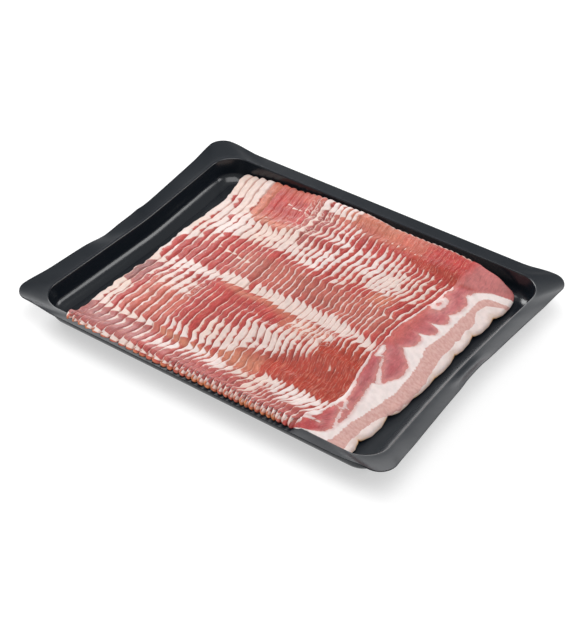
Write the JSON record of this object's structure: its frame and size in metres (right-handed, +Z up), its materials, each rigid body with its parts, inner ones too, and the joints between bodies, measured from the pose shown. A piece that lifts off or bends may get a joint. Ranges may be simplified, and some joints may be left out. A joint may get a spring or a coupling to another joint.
{
  "type": "bacon pack",
  "caption": "Shallow black thermoformed tray, open on top, filled with a long shingle of overlapping streaky bacon slices.",
  "frame": {"origin": "on the table under the middle of the tray's footprint", "axes": "+X along the tray in the direction in which the slices are laid, +Y across it towards the far long side, +Z up"},
  "size_m": [0.3305, 0.2546, 0.0246],
  "materials": {
    "tray_plastic": "glossy black thermoformed sheet",
    "cured_pork": "moist, streaked with cream fat"
  },
  "bodies": {
    "root": {"tray": "tray_plastic", "slice_01": "cured_pork", "slice_02": "cured_pork", "slice_03": "cured_pork", "slice_04": "cured_pork", "slice_05": "cured_pork", "slice_06": "cured_pork", "slice_07": "cured_pork", "slice_08": "cured_pork", "slice_09": "cured_pork", "slice_10": "cured_pork", "slice_11": "cured_pork", "slice_12": "cured_pork", "slice_13": "cured_pork", "slice_14": "cured_pork", "slice_15": "cured_pork", "slice_16": "cured_pork", "slice_17": "cured_pork", "slice_18": "cured_pork", "slice_19": "cured_pork", "slice_20": "cured_pork", "slice_21": "cured_pork", "slice_22": "cured_pork", "slice_23": "cured_pork", "slice_24": "cured_pork", "slice_25": "cured_pork", "slice_26": "cured_pork", "slice_27": "cured_pork", "slice_28": "cured_pork", "slice_29": "cured_pork", "slice_30": "cured_pork", "slice_31": "cured_pork", "slice_32": "cured_pork", "slice_33": "cured_pork", "slice_34": "cured_pork", "slice_35": "cured_pork", "slice_36": "cured_pork", "slice_37": "cured_pork"}
  },
  "joints": []
}
